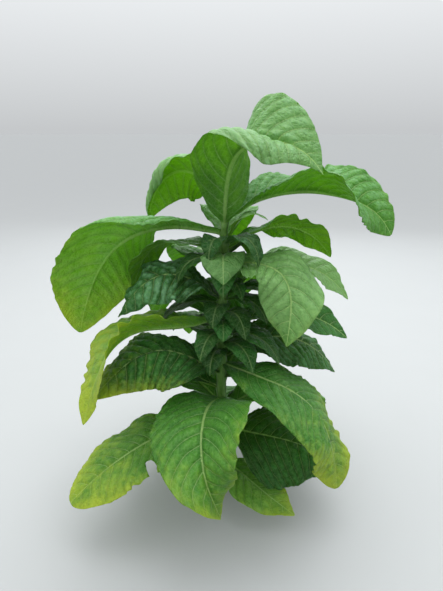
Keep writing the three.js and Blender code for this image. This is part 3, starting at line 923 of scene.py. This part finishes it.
class Shader:
    """A material's node tree, with short calls for the nodes that the materials here need."""

    def __init__(self, name):
        self.material = bpy.data.materials.new(name)
        self.material.use_nodes = True
        self.tree = self.material.node_tree
        self.tree.nodes.clear()

    def node(self, kind, inputs=(), **settings):
        made = self.tree.nodes.new(kind)
        for key, value in settings.items():
            setattr(made, key, value)
        for socket, value in dict(inputs).items():
            if isinstance(value, bpy.types.NodeSocket):
                self.tree.links.new(value, made.inputs[socket])
            else:
                made.inputs[socket].default_value = value
        return made

    def math(self, operation, *values):
        return self.node("ShaderNodeMath", enumerate(values), operation=operation).outputs[0]

    def times(self, first, second):
        return self.math("MULTIPLY", first, second)

    def line(self, value, start, slope):
        """start where the value is 0, and slope more for each 1 of it."""
        return self.math("MULTIPLY_ADD", value, slope, start)

    def weighted(self, first, *rest):
        """The sum of pairs of a value and its weight."""
        total = self.times(*first)
        for value, weight in rest:
            total = self.line(value, total, weight)
        return total

    def ramp(self, value, low, high, start=0.0, end=1.0):
        """start below low, end above high, and smooth between."""
        inputs = {"Value": value, "From Min": low, "From Max": high, "To Min": start, "To Max": end}
        made = self.node("ShaderNodeMapRange", inputs, interpolation_type="SMOOTHSTEP")
        return made.outputs["Result"]

    def mix(self, factor, first, second, blend="MIX"):
        made = self.node("ShaderNodeMix", data_type="RGBA", blend_type=blend)
        for socket, value in ((0, factor), (6, first), (7, second)):
            if isinstance(value, bpy.types.NodeSocket):
                self.tree.links.new(value, made.inputs[socket])
            elif socket == 0:
                made.inputs[socket].default_value = value
            else:
                made.inputs[socket].default_value = (*value, 1)
        return made.outputs[2]

    def attribute(self, name):
        vector = self.node("ShaderNodeAttribute", attribute_name=name).outputs["Vector"]
        return vector, self.node("ShaderNodeSeparateXYZ", {"Vector": vector}).outputs

    def noise(self, vector, scale, detail=2.0):
        inputs = {"Vector": vector, "Scale": scale, "Detail": detail, "Roughness": 0.55}
        return self.node("ShaderNodeTexNoise", inputs).outputs["Fac"]

    def bump(self, height, distance, strength=1.0):
        inputs = {"Height": height, "Distance": distance, "Strength": strength}
        return self.node("ShaderNodeBump", inputs).outputs["Normal"]

    def principled(self, inputs):
        return self.node("ShaderNodeBsdfPrincipled", inputs).outputs[0]

    def finish(self, shader):
        output = self.node("ShaderNodeOutputMaterial")
        self.tree.links.new(shader, output.inputs["Surface"])
        return self.material


def leaf_material(name, deep, light, under, gloss):
    """Leaf tissue: its greens above and below with painted shade, light and sheen, its veins, its
    yellowed margins, and its relief.
    """
    m = Shader(name)
    place, (_, across, _) = m.attribute("leaf_place")
    _, (vein, reach, s) = m.attribute("leaf_veins")
    _, (upper, age, tint_and_shade) = m.attribute("leaf_tone")
    _, (ridge, painted_sheen, vein_strength) = m.attribute("leaf_forms")
    patches = m.noise(place, PATCH_SCALE, 3.0)
    blotches = m.noise(place, BLOTCH_SCALE, 4.0)
    specks = m.noise(place, SPECK_SCALE)
    grain = m.noise(place, GRAIN_SCALE, 3.0)
    net_inputs = {"Vector": place, "Scale": NET_SCALE}
    net = m.node("ShaderNodeTexVoronoi", net_inputs, feature="DISTANCE_TO_EDGE").outputs["Distance"]

    # Side veins, the midrib and the fine net between them
    off_vein = m.math("ABSOLUTE", m.math("SUBTRACT", vein, m.math("ROUND", vein)))
    off_rib = m.math("ABSOLUTE", across)
    vein_line = m.math("DIVIDE", off_vein, m.line(reach, *VEIN_LINE))
    rib_line = m.math("DIVIDE", off_rib, m.line(s, *RIB_LINE))
    side_veins = m.ramp(vein_line, 0.5, 1.6, 1.0, 0.0)
    midrib = m.ramp(rib_line, 0.55, 1.35, 1.0, 0.0)
    veins = m.math("MAXIMUM", m.times(side_veins, 0.75), midrib)
    net_lines = m.ramp(net, 0.0, 0.09, 1.0, 0.0)
    blisters = m.ramp(net, 0.0, 0.42)

    # The upper side: painted shade deepens the green near the stem and in the valleys, painted
    # light makes it lighter on the folds, and a painted sheen, the sky's reflection, makes the
    # folds bluish
    # Painted shade: darker near the stem, where the crown shades the blade, lighter outwards
    outward = m.ramp(s, 0.05, 0.7)
    # The ridge paints light on the folds and shade in the valleys; patches and blotches are the
    # leaf's own tone
    weights = ((patches, 0.60), (blotches, 0.40), (ridge, 0.24), (outward, 0.22), (tint_and_shade, 0.22))
    tone = m.ramp(m.weighted(*weights), 0.40, 1.06)
    # Painted sheen: a bluish reflection of the sky, on the lit folds in patches
    lit_patches = m.ramp(m.math("ADD", patches, blotches), 0.8, 1.2)
    lit_folds = m.times(m.ramp(ridge, 0.1, 0.9, 0.1, 1.0), lit_patches)
    top_colour = m.mix(m.times(lit_folds, painted_sheen), m.mix(tone, deep, light), PAINTED_SHEEN_COLOUR)

    # The lower side, lighter where painted light shines through it, and, on a leaf with a strong
    # painted sheen, bluish in patches from the sky's reflection painted on it too
    painted_under_sheen = m.times(m.ramp(painted_sheen, 0.5, 0.8, 0.0, 0.3), m.ramp(blotches, 0.3, 0.7, 0.2, 1.0))
    under_colour = m.mix(painted_under_sheen, m.mix(m.times(tone, 0.9), under, UNDER_BACKLIT), PAINTED_SHEEN_COLOUR)
    colour = m.mix(upper, under_colour, top_colour)

    # Painted shade in the valleys beside the side veins and the midrib, then the veins
    painted_groove_shade = m.times(m.ramp(off_vein, 0.02, 0.24, 1.0, 0.0), m.ramp(off_rib, 0.004, 0.02))
    painted_rib_shade = m.times(m.ramp(off_rib, 0.003, 0.016, 1.0, 0.0), 0.7)
    painted_groove_shade = m.times(m.math("MAXIMUM", painted_groove_shade, painted_rib_shade), m.line(upper, 0.30, 0.08))
    vein_share = m.times(m.line(upper, 0.34, 0.30), vein_strength)
    colour = m.mix(painted_groove_shade, colour, deep)
    colour = m.mix(m.times(net_lines, 0.14), colour, VEIN_COLOUR)
    colour = m.mix(m.times(veins, vein_share), colour, VEIN_COLOUR)

    # Yellowing from the tip and the margins inwards, then dry specks
    margin = m.times(m.math("POWER", reach, 2.5), m.line(s, 0.05, 0.43))
    outer = m.line(m.math("POWER", s, 2.2), margin, 0.78)
    spread = m.line(m.math("SUBTRACT", blotches, 0.5), outer, 0.9)
    spread = m.line(m.math("SUBTRACT", patches, 0.5), spread, 0.9)
    yellow = m.ramp(m.times(m.math("ADD", spread, 0.25), age), 0.22, 0.78)
    dry = m.times(m.ramp(specks, 0.66, 0.72), m.ramp(m.times(outer, age), 0.35, 0.75))
    colour = m.mix(m.times(yellow, 0.8), colour, YELLOW)
    colour = m.mix(m.times(dry, 0.8), colour, BROWN)

    # Relief too fine for the mesh
    height = m.weighted((grain, 0.25), (blisters, 0.9), (side_veins, -0.5), (blotches, 0.6))
    normal = m.bump(height, 0.0016, 0.9)

    inputs = {
        "Base Color": colour,
        "Roughness": m.line(grain, m.line(upper, 0.50, -0.12), 0.16),
        "Specular IOR Level": gloss,
        "Sheen Weight": 0.04,
        "Sheen Roughness": 0.4,
        "Sheen Tint": (0.78, 0.94, 0.90, 1),
        "Normal": normal,
    }
    surface = m.principled(inputs)
    through = m.mix(1.0, m.mix(0.35, colour, THROUGH_TINT), THROUGH_GAIN, "MULTIPLY")
    glow = m.node("ShaderNodeBsdfTranslucent", {"Color": through, "Normal": normal}).outputs[0]
    both = m.node("ShaderNodeMixShader", {0: THROUGH_SHARE, 1: surface, 2: glow})
    return m.finish(both.outputs[0])


def stem_material():
    """A green stem, streaked along its length and earthy at the foot."""
    m = Shader("stem_green")
    place, (_, _, z) = m.attribute("stem_place")
    stretched = m.node("ShaderNodeMapping", {"Vector": place, "Scale": (1, 1, 0.07)}).outputs[0]
    streaks = m.noise(stretched, STREAK_SCALE, 4.0)
    bands = m.noise(stretched, BAND_SCALE)
    patches = m.noise(place, STEM_PATCH_SCALE, 3.0)
    grain = m.noise(place, STEM_GRAIN_SCALE)
    foot = m.ramp(m.line(patches, z, -0.12), 0.0, 0.16, 1.0, 0.0)
    colour = m.mix(m.ramp(streaks, 0.3, 0.7), STEM_DEEP, STEM_LIGHT)
    colour = m.mix(m.ramp(bands, 0.45, 0.75, 0.0, 0.3), colour, STEM_PALE)
    colour = m.mix(m.times(foot, 0.75), colour, STEM_EARTHY)
    height = m.weighted((streaks, 0.5), (bands, 0.6), (grain, 0.25))
    inputs = {
        "Base Color": colour,
        "Roughness": m.line(streaks, 0.42, 0.2),
        "Specular IOR Level": 0.4,
        "Sheen Weight": 0.25,
        "Sheen Roughness": 0.4,
        "Normal": m.bump(height, 0.0009),
    }
    return m.finish(m.principled(inputs))


def floor_material():
    """Matt and pale, and very slightly mottled."""
    m = Shader("floor_pale")
    mottle = m.noise(m.node("ShaderNodeTexCoord").outputs["Object"], FLOOR_MOTTLE_SCALE, 3.0)
    colour = m.mix(mottle, tuple(FLOOR_MOTTLE * c for c in FLOOR_COLOUR), FLOOR_COLOUR)
    inputs = {"Base Color": colour, "Roughness": 0.8, "Specular IOR Level": 0.2}
    return m.finish(m.principled(inputs))


def all_leaves():
    """Every leaf by name, in the order of the tables, with whatever its own entry leaves out."""
    entries = dict(LEAVES)
    sets = (
        ("leaf_back", BACK_LEAVES, "leaf_green", "back", LEAF_DEFAULTS["ripple"]),
        ("leaf_inner", INNER_LEAVES, "leaf_dark", "inner", SMALL_RIPPLE),
        ("leaf_small", SMALL_LEAVES, "leaf_dark", "young", SMALL_RIPPLE),
    )
    for stem, rows, look, cells, ripple in sets:
        for k, (height, heading, length, width, base) in enumerate(rows):
            entries[f"{stem}_{k + 1}"] = dict(
                height=height, length=length, width=width, heading=[heading] * 3,
                rise=[base, base / 3, -HALFWAY_DROOP - base / 2, -TIP_DROOP - base],
                ripple=ripple, cells=cells, look=look,
            )
    for k, (height, heading, length, width) in enumerate(YOUNG_LEAVES):
        entries[f"young_leaf_{k + 1}"] = dict(
            height=height, length=length, width=width, heading=[heading] * 3,
            rise=YOUNG_RISE, ripple=SMALL_RIPPLE, cells="young", look="leaf_pale",
        )
    leaves = {}
    random = np.random.default_rng(TINT_SEED)
    for name, entry in entries.items():
        tint_and_shade = random.uniform(-1, 1)
        # Painted shade: the leaves close to the stem are darker
        if name.startswith(("leaf_small", "leaf_inner")):
            tint_and_shade -= CROWN_SHADE
        extra = dict(
            phase=entry["height"] * PHASE_PER_HEIGHT % 1,
            frill=FRILLS.get(name, FRILL),
            relief=RELIEF.get(name, 1.0),
            tint_and_shade=TINT_AND_SHADE.get(name, tint_and_shade),
        )
        leaves[name] = {**LEAF_DEFAULTS, **extra, **entry}
    return leaves


def build_plant():
    """Makes every piece with its material, hangs it on the root, and hides the solid it replaces.
    """
    leaves = all_leaves()
    stem = fine_stem(leaves, stem_material())
    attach(stem, "root")
    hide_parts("stem")
    materials = {look: leaf_material(look, **tones) for look, tones in LOOKS.items()}
    for number, (name, leaf) in enumerate(leaves.items()):
        piece = fine_leaf(name, leaf, FIRST_SEED + SEED_STEP * number, materials[leaf["look"]])
        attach(piece, "root")
        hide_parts(name)


def build_floor():
    half = FLOOR_HALF
    mesh = bpy.data.meshes.new("floor")
    corners = [(-half, -half, 0), (half, -half, 0), (half, half, 0), (-half, half, 0)]
    mesh.from_pydata(corners, [], [(0, 1, 2, 3)])
    mesh.materials.append(floor_material())
    floor = bpy.data.objects.new("floor", mesh)
    bpy.context.scene.collection.objects.link(floor)


def area_light(name, place, target, size, power, colour):
    data = bpy.data.lights.new(name, "AREA")
    data.shape = "RECTANGLE"
    data.size, data.size_y = size
    data.energy = power
    data.color = colour
    light = bpy.data.objects.new(name, data)
    light.location = place
    towards = Vector(target) - Vector(place)
    light.rotation_euler = towards.to_track_quat("-Z", "Y").to_euler()
    bpy.context.scene.collection.objects.link(light)


def build_sky():
    """A world that is SKY_LOW strong at the horizon and SKY_HIGH overhead."""
    world = bpy.data.worlds.new("studio")
    world.use_nodes = True
    tree = world.node_tree
    background = tree.nodes["Background"]
    sky = tree.nodes.new("ShaderNodeTexCoord")
    axes = tree.nodes.new("ShaderNodeSeparateXYZ")
    height = tree.nodes.new("ShaderNodeMapRange")
    limits = {"From Min": 0.0, "From Max": 1.0, "To Min": SKY_LOW, "To Max": SKY_HIGH}
    for socket, value in limits.items():
        height.inputs[socket].default_value = value
    tree.links.new(sky.outputs["Generated"], axes.inputs[0])
    tree.links.new(axes.outputs["Z"], height.inputs["Value"])
    tree.links.new(height.outputs["Result"], background.inputs["Strength"])
    background.inputs["Color"].default_value = (*SKY_COLOUR, 1)
    bpy.context.scene.world = world


def build_camera():
    data = bpy.data.cameras.new("camera")
    data.sensor_width = SENSOR
    data.lens = SENSOR * FOCAL_PIXELS / IMAGE_HEIGHT
    camera = bpy.data.objects.new("camera", data)
    camera.location = CAMERA_PLACE
    camera.rotation_euler = (math.radians(90 - CAMERA_TILT), 0, 0)
    bpy.context.scene.collection.objects.link(camera)
    bpy.context.scene.camera = camera


bpy.context.scene.view_settings.view_transform = "Standard"
build_camera()
build_plant()
build_floor()
for light, settings in LIGHTS.items():
    area_light(light, *settings)
build_sky()
